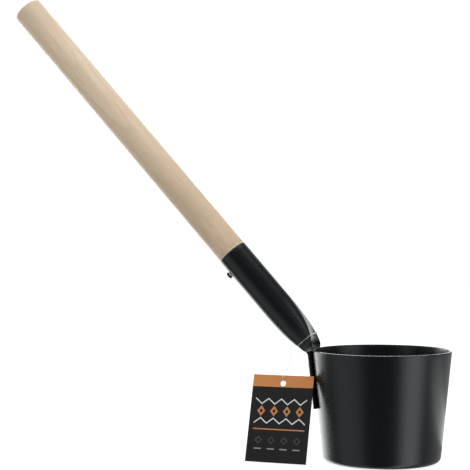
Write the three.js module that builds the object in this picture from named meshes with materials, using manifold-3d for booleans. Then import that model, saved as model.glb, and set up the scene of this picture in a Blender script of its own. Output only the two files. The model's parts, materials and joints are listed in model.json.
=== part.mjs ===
// Sauna ladle: a tapered cup riveted to a socket tube, which is pressed flat and bent to lie on the cup.
// A round wooden handle is screwed into the tube, and a card tag hangs on the neck by a thin clear loop.
// Millimetres and degrees, +Z up. The origin is the middle of the cup's base, and the handle leans to -X.

import * as THREE from 'three';
import { mergeVertices } from 'three/addons/utils/BufferGeometryUtils.js';
import Module from 'manifold-3d';

const wasm = await Module();
wasm.setup();

// Air between neighbouring pieces
const FIT = 0.3;

// Cup, spun from sheet
const RIM_RADIUS = 57.3;
const FOOT_RADIUS = 47.9; // where the line of the wall meets the ground
const CUP_HEIGHT = 90.6;
const CUP_SHEET = 2;
const FOOT_FILLET = 5;
const RIM_ROUNDING = 0.6;

// Socket tube: round for the handle, pressed flat over a run below that, then a strap on the cup
const TUBE_DIAMETER = 26;
const TUBE_WALL = 1.8;
const HANDLE_TILT = 41.2; // from the vertical
const SOCKET_ROUND = 55.4; // length that stays round
const PRESS_RUN = 45; // length over which the round tube goes flat
const PRESS_FULLNESS = 0.5; // below 1 the neck swells early above the bend
const BEND_RADIUS = 10;
const BEND_RISE = 0.9; // from the rim up to the start of the bend
const FLAT_RATIO = 1.05; // how much the press widens the flat beyond its own circumference
const FOLD_SQUARENESS = 0.7; // of the cup side's edges at the fold, where 0 is round
const STRAP_LENGTH = 48.2; // below the rim
const STRAP_CORNER = 1;

// Handle
const HANDLE_DIAMETER = 25;
const HANDLE_LENGTH = 282;
const HANDLE_END_ROUNDING = 1;
const TENON_STANDOFF = 4; // from the tenon's end to where the tube begins to go flat
const TENON_CHAMFER = 1.5;

// Screw through the tube's underside into the tenon
const SCREW_INSET = 12.7; // below the tube's mouth
const SCREW_DIAMETER = 3;
const SCREW_LENGTH = 11;
const SCREW_POINT = 3;
const SCREW_HEAD_DIAMETER = 5.4;
const SCREW_HEAD_HEIGHT = 2.6;
const SCREW_HEAD_ROUNDING = 1.2;

// Rivets through the strap and the cup
const RIVET_DROPS = { rivet_upper: 13, rivet_lower: 35 }; // below the rim, along the wall
const RIVET_DIAMETER = 4;
const RIVET_HEAD_DIAMETER = 8;
const RIVET_HEAD_HEIGHT = 1.5;

// Card tag, just above the ground and leaning back on the strap's edge
const TAG_WIDTH = 52;
const TAG_HEIGHT = 72;
const TAG_SHEET = 0.5;
const TAG_HOLE = 4.8;
const TAG_HOLE_INSET = 6.75; // from the top edge to the hole's middle
const TAG_YAW = -6.3;
const TAG_LEAN = 18;
const TAG_LIFT = 1; // from the ground to the bottom edge
const TAG_REACH = 18.1; // from the bend's corner out to the loop in the hole

// Nylon loop: a closed route round the neck and through the card's hole, with a snap lock on it
const LOOP_DIAMETER = 0.6;
const LOOP_STATION = 3.9; // above the middle of the bend, along the neck
const LOCK_DIAMETER = 2.6;
const LOCK_LENGTH = 4.6;

// Points round the neck: up along it, from its middle towards the cup, and to the left of the cup
const LOOP_AT_NECK = [
  [-4.6, -17.5, 2],
  [-1, -12, 10],
  [0, -5.8, 15],
  [0, 1.3, 17.6],
  [0, 8, 15.2],
  [0, 9, 9],
  [0, 8.6, 0],
  [0, 9, -9],
  [0, 8, -15.2],
  [0, 1.3, -17.6],
  [0, -5.2, -15.6],
  [0, -10.8, -12.6],
  [-3.4, -17.5, -13.8],
  [-8.4, -24.5, -17],
];

// Points at the card: across it, up it and in front of it, from the loop in the hole
const LOOP_AT_TAG = [
  [0.2, 4, 2.6],
  [0, 0.7, 1.9],
  [0, 0, 0],
  [0, 0.7, -1.9],
  [0.1, 2.9, -2.7],
  [0.4, 8.5, -4.4],
  [1, 14, -7],
];
const LOCK_POINT = 4; // the point of the route at the card that the lock sits on

// Facets
const CUP_SIDES = 72;
const TURNED_SIDES = 48;
const SMALL_SIDES = 24;
const ARC_STEPS = 5;
const LIP_STEPS = 3;
const SECTION_POINTS = 56;
const CORNER_STEPS = [0, 0.15, 0.45, 1]; // shares of the strap's corner
const BEND_STEPS = [0, 0.25, 0.5]; // shares of the bend before the press opens
const PRESS_STEPS = [0.01, 0.03, 0.06, 0.09, 0.12, 0.16, 0.21, 0.27, 0.34, 0.42, 0.52, 0.63, 0.75, 0.88, 1];
const LOOP_STEPS = 80;
const LOOP_SIDES = 8;
const NEARLY_STRAIGHT = 1e-6; // least curvature of a section

const COATED_ALUMINIUM = { color: 0x1c1e20, roughness: 0.42, metalness: 0.35 };
const PALE_WOOD = { color: 0xd8c4a2, roughness: 0.6, metalness: 0 };
const BLACK_STEEL = { color: 0x141414, roughness: 0.4, metalness: 0.5 };
const PRINTED_CARD = { color: 0x262626, roughness: 0.55, metalness: 0 };
const CLEAR_NYLON = { color: 0xe9edee, roughness: 0.2, metalness: 0, transparent: true, opacity: 0.5 };

// Values worked out from the sizes above. A station is a distance along the neck from the bend's middle.
const taper = Math.atan((RIM_RADIUS - FOOT_RADIUS) / CUP_HEIGHT);
const tilt = THREE.MathUtils.degToRad(HANDLE_TILT);
const tubeRadius = TUBE_DIAMETER / 2;
const flatHalf = TUBE_WALL; // half of the two walls pressed together
const strapOffset = FIT + flatHalf; // from the cup's wall to the middle of the strap
const bendArc = BEND_RADIUS * (tilt - taper);
const bendTangent = BEND_RADIUS * Math.tan((tilt - taper) / 2);
const strapTopStation = -bendArc / 2 - BEND_RISE;
const mouthStation = PRESS_RUN + SOCKET_ROUND;
const strapEndStation = strapTopStation - STRAP_LENGTH;
const socketLength = mouthStation - bendArc / 2 + bendTangent; // from the bend's corner to the mouth

// Along a line that leans from the vertical, going up and away to -X
const along = (lean) => new THREE.Vector3(-Math.sin(lean), 0, Math.cos(lean));

// Square to that line, on the side of the cup
const cupward = (lean) => new THREE.Vector3(Math.cos(lean), 0, Math.sin(lean));

const rimPoint = new THREE.Vector3(-RIM_RADIUS, 0, CUP_HEIGHT);
const strapTop = rimPoint.clone().addScaledVector(cupward(taper), -strapOffset);
const bendStart = strapTop.clone().addScaledVector(along(taper), BEND_RISE);
const bendCorner = bendStart.clone().addScaledVector(along(taper), bendTangent);
const bendEnd = bendCorner.clone().addScaledVector(along(tilt), bendTangent);

// A closed mesh as a solid for cutting and joining, without triangles that have no area
function toSolid(geometry) {
  const bare = geometry.clone();
  bare.deleteAttribute('normal');
  bare.deleteAttribute('uv');
  const merged = mergeVertices(bare, 1e-4);
  const index = merged.index.array;
  const triVerts = [];
  for (let i = 0; i < index.length; i += 3) {
    const [a, b, c] = index.slice(i, i + 3);
    if (a !== b && b !== c && c !== a) triVerts.push(a, b, c);
  }
  const vertProperties = new Float32Array(merged.attributes.position.array);
  const mesh = { numProp: 3, vertProperties, triVerts: new Uint32Array(triVerts) };
  return new wasm.Manifold(new wasm.Mesh(mesh));
}

function fromSolid(solid) {
  const { vertProperties, triVerts } = solid.getMesh();
  const geometry = new THREE.BufferGeometry();
  geometry.setAttribute('position', new THREE.BufferAttribute(vertProperties, 3));
  geometry.setIndex(new THREE.BufferAttribute(triVerts, 1));
  geometry.computeVertexNormals();
  return geometry;
}

const cut = (geometry, cutters) =>
  fromSolid(cutters.reduce((solid, cutter) => solid.subtract(toSolid(cutter)), toSolid(geometry)));

const join = (geometry, other) => fromSolid(toSolid(geometry).add(toSolid(other)));

function named(name, geometry, finish) {
  const mesh = new THREE.Mesh(geometry, new THREE.MeshStandardMaterial(finish));
  mesh.name = name;
  return mesh;
}

const point = (x, y) => new THREE.Vector2(x, y);

// Points of an arc from one angle to another, in radians
function arc(x, y, radius, from, to, steps = ARC_STEPS) {
  const points = [];
  for (let i = 0; i <= steps; i++) {
    const angle = from + ((to - from) * i) / steps;
    points.push(point(x + radius * Math.cos(angle), y + radius * Math.sin(angle)));
  }
  return points;
}

// A profile of radius and height turned about +Z
const turned = (profile, sides) => new THREE.LatheGeometry(profile, sides).rotateX(Math.PI / 2);

// The same turned about -X, with the profile's height pointing that way
const turnedOutward = (profile, sides) => turned(profile, sides).rotateY(-Math.PI / 2);

// A plain pin from one height to another, for cutting holes
const pin = (radius, low, high) => [point(0, low), point(radius, low), point(radius, high), point(0, high)];

// The cup's wall leans out by the taper, with one fillet centre for the outer and the inner foot
function cupProfile() {
  const footX = FOOT_RADIUS + (FOOT_FILLET * (Math.sin(taper) - 1)) / Math.cos(taper);
  const innerFillet = Math.max(FOOT_FILLET - CUP_SHEET, FIT);
  const innerRim = RIM_RADIUS - CUP_SHEET / Math.cos(taper);
  const lip = CUP_HEIGHT - RIM_ROUNDING;
  return [
    point(0, 0),
    ...arc(footX, FOOT_FILLET, FOOT_FILLET, -Math.PI / 2, -taper),
    ...arc(RIM_RADIUS - RIM_ROUNDING, lip, RIM_ROUNDING, -taper, Math.PI / 2, LIP_STEPS),
    ...arc(innerRim + RIM_ROUNDING, lip, RIM_ROUNDING, Math.PI / 2, Math.PI - taper, LIP_STEPS),
    ...arc(footX, FOOT_FILLET, innerFillet, -taper, -Math.PI / 2),
    point(0, CUP_SHEET),
  ];
}

// How far the press has opened at a station: 0 on the flat strap, 1 where the tube is round
const opened = (station) => THREE.MathUtils.clamp(station / PRESS_RUN, 0, 1);

// Half of the tube's thickness, swelling from the flat strap to the round tube
function halfThickness(station) {
  const swell = Math.sin((Math.PI / 2) * opened(station) ** PRESS_FULLNESS);
  return flatHalf + (tubeRadius - flatHalf) * swell;
}

// Half of the flat between the two round edges, from the tube's circumference
const halfFlat = (station) => FLAT_RATIO * (Math.PI / 2) * (tubeRadius - halfThickness(station));

// The neck's middle line and its lean from the vertical: strap, bend and straight tube
function neckPlace(station) {
  const fromStart = station + bendArc / 2;
  const fromEnd = station - bendArc / 2;
  const straight = (from, lean, run) => ({ middle: from.clone().addScaledVector(along(lean), run), lean });
  if (fromStart < 0) return straight(bendStart, taper, fromStart);
  if (fromEnd > 0) return straight(bendEnd, tilt, fromEnd);
  const lean = taper + fromStart / BEND_RADIUS;
  const centre = bendStart.clone().addScaledVector(cupward(taper), -BEND_RADIUS);
  return { middle: centre.addScaledVector(cupward(lean), BEND_RADIUS), lean };
}

// Radius of the arc round the cup that the middle of the strap follows
function wallBow(station) {
  const aboveRim = Math.min(station - strapTopStation, BEND_RISE);
  return (RIM_RADIUS + aboveRim * Math.sin(taper)) / Math.cos(taper) + strapOffset;
}

// How much the section curves: round the cup on the strap, less through the bend, and none above it
const hugging = (station, lean) => Math.sin(tilt - lean) / Math.sin(tilt - taper) / wallBow(station);

// How near a station is to the fold between strap and neck: 1 at it, fading down the strap and up the neck
function nearFold(station) {
  const upStrap = (station - strapEndStation) / (strapTopStation - strapEndStation);
  return Math.min(upStrap, 1) * (1 - opened(station)) ** 2;
}

// How far a point slides down, because the fold from curved strap to flat neck dips beside the middle
function foldDip(station, across, lean) {
  const bow = wallBow(station);
  const receding = bow * (1 - Math.cos(across / bow));
  return (nearFold(station) * receding * Math.cos(tilt - lean)) / Math.sin(tilt - taper);
}

// How much the rounded corners take off each edge at the strap's lower end
function cornerTrim(station) {
  const fromEnd = Math.min(station - strapEndStation, STRAP_CORNER);
  return STRAP_CORNER - Math.sqrt(STRAP_CORNER ** 2 - (STRAP_CORNER - fromEnd) ** 2);
}

// A point of the section: across the neck on an arc round the cup's side, slid down by the fold's dip,
// and lifted towards the cup
function sectionPoint(station, across, lift) {
  const { middle, lean } = neckPlace(station);
  const bow = 1 / Math.max(hugging(station, lean), NEARLY_STRAIGHT);
  const angle = across / bow;
  const place = middle.addScaledVector(cupward(lean), bow - (bow - lift) * Math.cos(angle));
  place.addScaledVector(along(lean), -foldDip(station, across, lean));
  return place.setY((bow - lift) * Math.sin(angle));
}

// A ring of the section: two flats joined by round edges, which are squarer on the cup's side near the fold
function sectionRing(station, inset) {
  const radius = halfThickness(station) - inset;
  const flat = halfFlat(station) - cornerTrim(station);
  const quarter = flat + (Math.PI / 2) * radius;
  const points = [];
  for (let i = 0; i < SECTION_POINTS; i++) {
    const quarters = (4 * i) / SECTION_POINTS;
    const run = quarter * Math.abs(((quarters + 1) % 2) - 1);
    const side = quarters < 2 ? 1 : -1;
    const face = quarters < 1 || quarters > 3 ? 1 : -1;
    const angle = Math.max(run - flat, 0) / radius;
    const roundness = face > 0 ? 1 - FOLD_SQUARENESS * nearFold(station) : 1;
    const across = side * (Math.min(run, flat) + radius * Math.sin(angle) ** roundness);
    const lift = face * radius * Math.max(Math.cos(angle), 0) ** roundness;
    points.push(sectionPoint(station, across, lift));
  }
  return points;
}

// Triangles between two rings of points, given where each ring starts in the list
function band(low, high, count) {
  const index = [];
  for (let i = 0; i < count; i++) {
    const next = (i + 1) % count;
    index.push(low + i, low + next, high + next, low + i, high + next, high + i);
  }
  return index;
}

// Triangles across a ring of the section, by strips from one face to the other
function endStrip(start, flip) {
  const index = [];
  const quarter = SECTION_POINTS / 4;
  const at = (i) => start + ((i + SECTION_POINTS) % SECTION_POINTS);
  const add = (a, b, c) => index.push(...(flip ? [a, c, b] : [a, b, c]));
  for (let k = 0; k < SECTION_POINTS / 2; k++) {
    if (k > 0) add(at(quarter - k), at(quarter - k - 1), at(quarter + k));
    if (k < SECTION_POINTS / 2 - 1) add(at(quarter + k), at(quarter - k - 1), at(quarter + k + 1));
  }
  return index;
}

function skin(rings, index) {
  const geometry = new THREE.BufferGeometry();
  const positions = rings.flat().flatMap((place) => place.toArray());
  geometry.setAttribute('position', new THREE.Float32BufferAttribute(positions, 3));
  return geometry.setIndex(index);
}

// The tube as one skin: up the outside from the strap's end, over the mouth and down the bore
function socketTube() {
  const corners = CORNER_STEPS.map((share) => strapEndStation + share * STRAP_CORNER);
  const pressed = PRESS_STEPS.map((share) => share * PRESS_RUN);
  const bent = BEND_STEPS.map((share) => (share - 0.5) * bendArc);
  const flat = [(strapEndStation + strapTopStation) / 2, strapTopStation, ...bent];
  const outside = [...corners, ...flat, ...pressed, mouthStation];
  const inside = [mouthStation, ...pressed.toReversed()];
  const rings = [
    ...outside.map((station) => sectionRing(station, 0)),
    ...inside.map((station) => sectionRing(station, TUBE_WALL)),
  ];
  const last = (rings.length - 1) * SECTION_POINTS;
  const index = [...endStrip(0, false), ...endStrip(last, true)];
  for (let low = 0; low < last; low += SECTION_POINTS) {
    index.push(...band(low, low + SECTION_POINTS, SECTION_POINTS));
  }
  return skin(rings, index);
}

// A shouldered tenon, then the handle, just thinner than the tube, measured from the bend's corner
function handleProfile() {
  const handleRadius = HANDLE_DIAMETER / 2;
  const tenonRadius = tubeRadius - TUBE_WALL - FIT;
  const tenonEnd = socketLength - SOCKET_ROUND + TENON_STANDOFF;
  const shoulder = socketLength + FIT;
  const end = shoulder + HANDLE_LENGTH;
  const roundingX = handleRadius - HANDLE_END_ROUNDING;
  return [
    point(0, tenonEnd),
    point(tenonRadius - TENON_CHAMFER, tenonEnd),
    point(tenonRadius, tenonEnd + TENON_CHAMFER),
    point(tenonRadius, shoulder),
    point(handleRadius, shoulder),
    ...arc(roundingX, end - HANDLE_END_ROUNDING, HANDLE_END_ROUNDING, 0, Math.PI / 2),
    point(0, end),
  ];
}

// A pan-head screw along its axis, from its point in the tenon to its head on the tube
function screwProfile() {
  const seat = tubeRadius + FIT;
  const tip = seat - SCREW_LENGTH;
  const top = seat + SCREW_HEAD_HEIGHT;
  const shank = SCREW_DIAMETER / 2;
  const head = SCREW_HEAD_DIAMETER / 2;
  return [
    point(0, tip),
    point(shank, tip + SCREW_POINT),
    point(shank, seat),
    point(head, seat),
    ...arc(head - SCREW_HEAD_ROUNDING, top - SCREW_HEAD_ROUNDING, SCREW_HEAD_ROUNDING, 0, Math.PI / 2),
    point(0, top),
  ];
}

// The low dome of a rivet's head, from its edge to its crown, on the given side of a level
function rivetDome(level, side) {
  const edge = RIVET_HEAD_DIAMETER / 2;
  const radius = (edge ** 2 + RIVET_HEAD_HEIGHT ** 2) / (2 * RIVET_HEAD_HEIGHT);
  const spread = Math.asin(edge / radius);
  const crown = RIVET_HEAD_HEIGHT - radius;
  const dome = arc(0, crown, radius, Math.PI / 2 - spread, Math.PI / 2);
  dome.at(-1).x = 0;
  return dome.map(({ x, y }) => point(x, level + side * y));
}

// A rivet from its head inside the cup to its head on the strap, measured out from the cup's wall
function rivetProfile() {
  const shank = RIVET_DIAMETER / 2;
  const wallSag = (RIVET_HEAD_DIAMETER / 2) ** 2 / (2 * FOOT_RADIUS); // the cup's curve under the inner head
  const inner = -CUP_SHEET - wallSag - FIT;
  const outer = FIT + 2 * flatHalf + FIT;
  return [
    ...rivetDome(inner, -1).reverse(),
    point(shank, inner),
    point(shank, outer),
    ...rivetDome(outer, 1),
  ];
}

// A group that pieces hang in, with its +Z along a line that leans to -X and its -X away from the cup
function placed(origin, lean) {
  const group = new THREE.Group();
  group.position.copy(origin);
  group.rotation.y = -lean;
  group.updateMatrixWorld(true);
  return group;
}

const ladle = new THREE.Group();
const wallPlace = placed(rimPoint, taper);
const handlePlace = placed(bendCorner, tilt);
ladle.add(wallPlace, handlePlace);

const screwHeight = socketLength - SCREW_INSET;
const screwHolePin = pin(SCREW_DIAMETER / 2 + FIT, tubeRadius - SCREW_LENGTH - FIT, TUBE_DIAMETER);
const screwHole = turnedOutward(screwHolePin, SMALL_SIDES).translate(0, 0, screwHeight);

const rivetHolePin = pin(RIVET_DIAMETER / 2 + FIT, -RIVET_HEAD_DIAMETER, RIVET_HEAD_DIAMETER + 2 * flatHalf);
const rivetHoles = Object.values(RIVET_DROPS).map((drop) =>
  turnedOutward(rivetHolePin, SMALL_SIDES).translate(0, 0, -drop).applyMatrix4(wallPlace.matrixWorld),
);

ladle.add(named('bowl', cut(turned(cupProfile(), CUP_SIDES), rivetHoles), COATED_ALUMINIUM));

const tubeHoles = [...rivetHoles, screwHole.clone().applyMatrix4(handlePlace.matrixWorld)];
ladle.add(named('socket_tube', cut(socketTube(), tubeHoles), COATED_ALUMINIUM));

handlePlace.add(named('wood_handle', cut(turned(handleProfile(), TURNED_SIDES), [screwHole]), PALE_WOOD));

const screw = named('handle_screw', turnedOutward(screwProfile(), SMALL_SIDES), BLACK_STEEL);
screw.position.z = screwHeight;
handlePlace.add(screw);

for (const [name, drop] of Object.entries(RIVET_DROPS)) {
  const rivet = named(name, turnedOutward(rivetProfile(), SMALL_SIDES), COATED_ALUMINIUM);
  rivet.position.z = -drop;
  wallPlace.add(rivet);
}

// The card's own directions: across it, up it and out of its front
const yaw = THREE.MathUtils.degToRad(TAG_YAW);
const cardLean = THREE.MathUtils.degToRad(TAG_LEAN);
const tagAcross = new THREE.Vector3(Math.cos(yaw), Math.sin(yaw), 0);
const tagUp = new THREE.Vector3(-Math.sin(yaw), Math.cos(yaw), 0).multiplyScalar(Math.sin(cardLean));
tagUp.z = Math.cos(cardLean);
const tagFront = tagAcross.clone().cross(tagUp);

// Where the loop bears on the top of the hole. The card's back clears the near edge of the strap.
const holeDrop = TAG_HOLE / 2 - LOOP_DIAMETER / 2 - FIT; // from the loop down to the hole's middle
const tagAbove = TAG_HOLE_INSET - holeDrop; // from the loop up to the top edge
const tagBelow = TAG_HEIGHT - tagAbove;
const hang = new THREE.Vector3(bendCorner.x - TAG_REACH, 0, TAG_LIFT + tagBelow * tagUp.z);
const edgeStation = strapTopStation - (strapTop.z - hang.z - tagAbove * tagUp.z) / Math.cos(taper);
const edgeAcross = halfFlat(edgeStation) + flatHalf;
const edgeDip = foldDip(edgeStation, edgeAcross, taper);
const strapEdge = sectionPoint(edgeStation + edgeDip, -edgeAcross, 0);
hang.y = (strapEdge.clone().sub(hang).dot(tagFront) + TAG_SHEET / 2 + FIT) / tagFront.y;

function tagCard() {
  const half = TAG_WIDTH / 2;
  const low = -tagBelow;
  const corners = [point(-half, low), point(half, low), point(half, tagAbove), point(-half, tagAbove)];
  const outline = new THREE.Shape(corners);
  outline.holes.push(new THREE.Path().absarc(0, -holeDrop, TAG_HOLE / 2, 0, 2 * Math.PI, true));
  const sheet = { depth: TAG_SHEET, bevelEnabled: false, curveSegments: SMALL_SIDES };
  return new THREE.ExtrudeGeometry(outline, sheet).translate(0, 0, -TAG_SHEET / 2);
}

const card = named('tag_card', tagCard(), PRINTED_CARD);
card.position.copy(hang);
card.quaternion.setFromRotationMatrix(new THREE.Matrix4().makeBasis(tagAcross, tagUp, tagFront));
ladle.add(card);

// The loop's points, from the neck's or the card's own directions
const loopPlace = neckPlace(LOOP_STATION);
const neckPoint = ([up, inward, left]) =>
  loopPlace.middle
    .clone()
    .addScaledVector(along(loopPlace.lean), up)
    .addScaledVector(cupward(loopPlace.lean), inward)
    .setY(left);
const cardPoint = ([across, up, front]) =>
  hang
    .clone()
    .addScaledVector(tagAcross, across)
    .addScaledVector(tagUp, up)
    .addScaledVector(tagFront, front);

function loopString() {
  const route = [...LOOP_AT_NECK.map(neckPoint), ...LOOP_AT_TAG.map(cardPoint)];
  const curve = new THREE.CatmullRomCurve3(route, true, 'centripetal');
  const { normals, binormals } = curve.computeFrenetFrames(LOOP_STEPS, true);
  const rings = [];
  const index = [];
  for (let step = 0; step < LOOP_STEPS; step++) {
    const middle = curve.getPointAt(step / LOOP_STEPS);
    const circle = arc(0, 0, LOOP_DIAMETER / 2, 0, 2 * Math.PI, LOOP_SIDES).slice(0, LOOP_SIDES);
    rings.push(
      circle.map(({ x, y }) =>
        middle.clone().addScaledVector(normals[step], x).addScaledVector(binormals[step], y),
      ),
    );
    const following = (step + 1) % LOOP_STEPS;
    index.push(...band(step * LOOP_SIDES, following * LOOP_SIDES, LOOP_SIDES));
  }
  return skin(rings, index);
}

// The lock is a short bead with round ends, lying along the string
function snapLock() {
  const radius = LOCK_DIAMETER / 2;
  const straight = LOCK_LENGTH / 2 - radius;
  const profile = [
    ...arc(0, -straight, radius, -Math.PI / 2, 0),
    ...arc(0, straight, radius, 0, Math.PI / 2),
  ];
  profile[0].x = 0;
  profile.at(-1).x = 0;
  const [before, place, after] = LOOP_AT_TAG.slice(LOCK_POINT - 1, LOCK_POINT + 2).map(cardPoint);
  const direction = after.sub(before).normalize();
  const turn = new THREE.Quaternion().setFromUnitVectors(new THREE.Vector3(0, 0, 1), direction);
  return turned(profile, SMALL_SIDES).applyQuaternion(turn).translate(place.x, place.y, place.z);
}

ladle.add(named('tag_loop', join(loopString(), snapLock()), CLEAR_NYLON));

export default ladle;
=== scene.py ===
"""The looks of a sauna ladle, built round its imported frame.

A black-coated tapered cup, a socket tube pressed flat and bent onto it, a pale round wooden handle with its
screw, two rivets, and a printed card that hangs on a thin clear loop. Metres, +Z up, and the origin is the
middle of the cup's base.
"""

import json
import math

import bmesh
import bpy
import numpy as np
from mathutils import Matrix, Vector


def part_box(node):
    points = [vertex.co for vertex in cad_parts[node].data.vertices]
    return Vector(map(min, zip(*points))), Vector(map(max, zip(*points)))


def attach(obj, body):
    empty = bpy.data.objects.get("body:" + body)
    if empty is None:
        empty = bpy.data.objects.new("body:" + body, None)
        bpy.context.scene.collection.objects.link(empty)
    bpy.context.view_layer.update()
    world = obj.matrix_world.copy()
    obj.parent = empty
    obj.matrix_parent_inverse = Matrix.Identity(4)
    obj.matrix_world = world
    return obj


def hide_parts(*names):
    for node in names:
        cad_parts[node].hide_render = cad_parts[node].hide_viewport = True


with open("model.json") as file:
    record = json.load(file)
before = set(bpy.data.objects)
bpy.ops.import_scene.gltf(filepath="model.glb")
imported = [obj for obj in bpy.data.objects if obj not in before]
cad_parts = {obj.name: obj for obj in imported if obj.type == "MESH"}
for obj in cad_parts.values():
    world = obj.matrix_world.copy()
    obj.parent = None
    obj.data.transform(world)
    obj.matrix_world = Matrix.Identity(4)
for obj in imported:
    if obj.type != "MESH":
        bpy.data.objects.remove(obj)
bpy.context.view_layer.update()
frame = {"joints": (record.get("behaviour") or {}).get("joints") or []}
joints = {joint["name"]: joint for joint in frame["joints"]}

MM = 0.001

# Camera: level, turned a little to the cup's right, with its place along and across its own line of sight
PICTURE_WIDTH = 470  # pixels
FOCAL_LENGTH = 1350  # pixels
SENSOR_WIDTH = 36
CAMERA_TURN = math.radians(14.5)
CAMERA_ASIDE = -120.08 * MM
CAMERA_DISTANCE = 1107 * MM
CAMERA_HEIGHT = 184.85 * MM

# Cup
CUP_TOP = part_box("bowl")[1]
RIM_RADIUS = CUP_TOP.x
CUP_HEIGHT = CUP_TOP.z
FOOT_RADIUS = 47.9 * MM  # where the line of the wall meets the ground
CUP_SHEET = 2 * MM
FOOT_FILLET = 5 * MM
RIM_ROUNDING = 0.6 * MM
FIT = 0.3 * MM  # air between neighbouring pieces
TAPER = math.atan((RIM_RADIUS - FOOT_RADIUS) / CUP_HEIGHT)

# Socket tube. A station is a distance along the neck from the bend's middle.
TUBE_RADIUS = 13 * MM
TUBE_WALL = 1.8 * MM
TILT = math.radians(41.2)  # from the vertical
SOCKET_ROUND = 55.4 * MM
PRESS_RUN = 45 * MM
PRESS_FULLNESS = 0.5
BEND_RADIUS = 10 * MM
BEND_RISE = 0.9 * MM  # from the rim up to the start of the bend
FLAT_RATIO = 1.05  # how much the press widens the flat beyond its own circumference
FOLD_SQUARENESS = 0.7  # of the cup side's edges at the fold, where 0 is round
FOLD_FILL = 1.1 * MM  # how far the metal gathers in the fold's hollow side
FOLD_FILL_REACH = 2.5 * MM
STRAP_LENGTH = 48.2 * MM
STRAP_CORNER = 1 * MM
STRAP_SLOT = 0.16 * MM  # left between the two walls of the strap
CUT_EDGE = 0.35 * MM  # rounding of the sawn ends
STRAP_OFFSET = FIT + TUBE_WALL  # from the cup's wall to the middle of the strap
BEND_ARC = BEND_RADIUS * (TILT - TAPER)
BEND_TANGENT = BEND_RADIUS * math.tan((TILT - TAPER) / 2)
STRAP_TOP = -BEND_ARC / 2 - BEND_RISE
MOUTH = PRESS_RUN + SOCKET_ROUND
STRAP_END = STRAP_TOP - STRAP_LENGTH
SOCKET_LENGTH = MOUTH - BEND_ARC / 2 + BEND_TANGENT  # from the bend's corner to the mouth

# Handle. Its shoulder and its end are measured from the bend's corner.
HANDLE_LENGTH = 282 * MM
HANDLE_RADIUS = 12.5 * MM
HANDLE_END_ROUNDING = 1 * MM
SHOULDER = SOCKET_LENGTH + FIT
SHOULDER_ROUNDING = 0.7 * MM
HANDLE_END = SHOULDER + HANDLE_LENGTH
TENON_STANDOFF = 4 * MM
TENON_CHAMFER = 1.5 * MM

# Screw, its washer and the cross in its head
SCREW_INSET = 12.7 * MM
SCREW_RADIUS = 1.5 * MM
SCREW_LENGTH = 11 * MM
SCREW_POINT = 3 * MM
SCREW_HEAD_RADIUS = 2.9 * MM
SCREW_HEAD_HEIGHT = 2.6 * MM
SCREW_HEAD_ROUNDING = 1.1 * MM
SCREW_CROWN = 0.6 * MM  # the part under the head's top that the cross is sunk in
WASHER_RADIUS = 2 * MM
WASHER_HEIGHT = 0.8 * MM
WASHER_EDGE = 0.15 * MM
WASHER_AIR = 0.05 * MM  # between the washer and the tube
CROSS_REACH = 1.55 * MM
CROSS_WIDTH = 0.8 * MM
CROSS_DEPTH = 1.1 * MM
CROSS_SOFTNESS = 0.25 * MM

# Rivets
RIVET_DROPS = {"rivet_upper": 13 * MM, "rivet_lower": 35 * MM}
RIVET_RADIUS = 2 * MM
RIVET_HEAD_RADIUS = 4 * MM
RIVET_HEAD_HEIGHT = 1.5 * MM

# Card tag
TAG_WIDTH = 52 * MM
TAG_HEIGHT = 72 * MM
TAG_SHEET = 0.5 * MM
TAG_HOLE_RADIUS = 2.4 * MM
TAG_HOLE_INSET = 6.75 * MM
TAG_CURL = 0.35 * MM  # how far the side edges stand forward of the middle
TAG_FACING = 0.5  # a face belongs to the front or back if its cosine to that side is above this

# Loop
LOOP_DIAMETER = 0.6 * MM
LOOP_STATION = 3.9 * MM
LOCK_RADIUS = 1.3 * MM
LOCK_LENGTH = 4.6 * MM
LOCK_STRAIGHT = LOCK_LENGTH / 2 - LOCK_RADIUS  # half of the barrel's straight part
LOCK_GROOVE = 0.22 * MM
LOCK_GROOVE_REACH = LOCK_STRAIGHT / 3

# Points round the neck: up along it, from its middle towards the cup, and to the left of the cup
LOOP_AT_NECK = MM * np.array([
    [-4.6, -17.5, 2],
    [-1, -12, 10],
    [0, -5.8, 15],
    [0, 1.3, 17.6],
    [0, 8, 15.2],
    [0, 9, 9],
    [0, 8.6, 0],
    [0, 9, -9],
    [0, 8, -15.2],
    [0, 1.3, -17.6],
    [0, -5.2, -15.6],
    [0, -10.8, -12.6],
    [-3.4, -17.5, -13.8],
    [-8.4, -24.5, -17],
])

# Points at the card: across it, up it and in front of it, from the loop in the hole
LOOP_AT_TAG = MM * np.array([
    [0.2, 4, 2.6],
    [0, 0.7, 1.9],
    [0, 0, 0],
    [0, 0.7, -1.9],
    [0.1, 2.9, -2.7],
    [0.4, 8.5, -4.4],
    [1, 14, -7],
])
LOCK_POINT = len(LOOP_AT_NECK) + 4  # the point of the whole route that the lock sits on

# Fineness of the surfaces
CUP_SIDES = 240
TURNED_SIDES = 128
SMALL_SIDES = 72
SECTION_POINTS = 168
ARC_STEPS = 12
EASED_STEPS = 4
BASE_STEPS = 8
WALL_STEPS = 24
GRIP_STEPS = 60
HANDLE_END_STEPS = 6
CROWN_STEPS = 40
LOCK_STEPS = 24
LOOP_STEPS = 10
LOOP_BEVEL = 3
CUT_ROWS = 6
CORNER_ROWS = 10
STRAP_ROWS = 20
BEND_ROWS = 14
PRESS_ROWS = 90
SOCKET_ROWS = 16
TAG_RAYS = 144
TAG_RINGS = 16
TAG_CROWDING = 1.5  # power that draws the rings towards the hole
WELD = 1e-7
NEARLY_STRAIGHT = 1e-5
NEARLY_NONE = 1e-9
SHARP_EDGE = math.radians(40)

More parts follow.
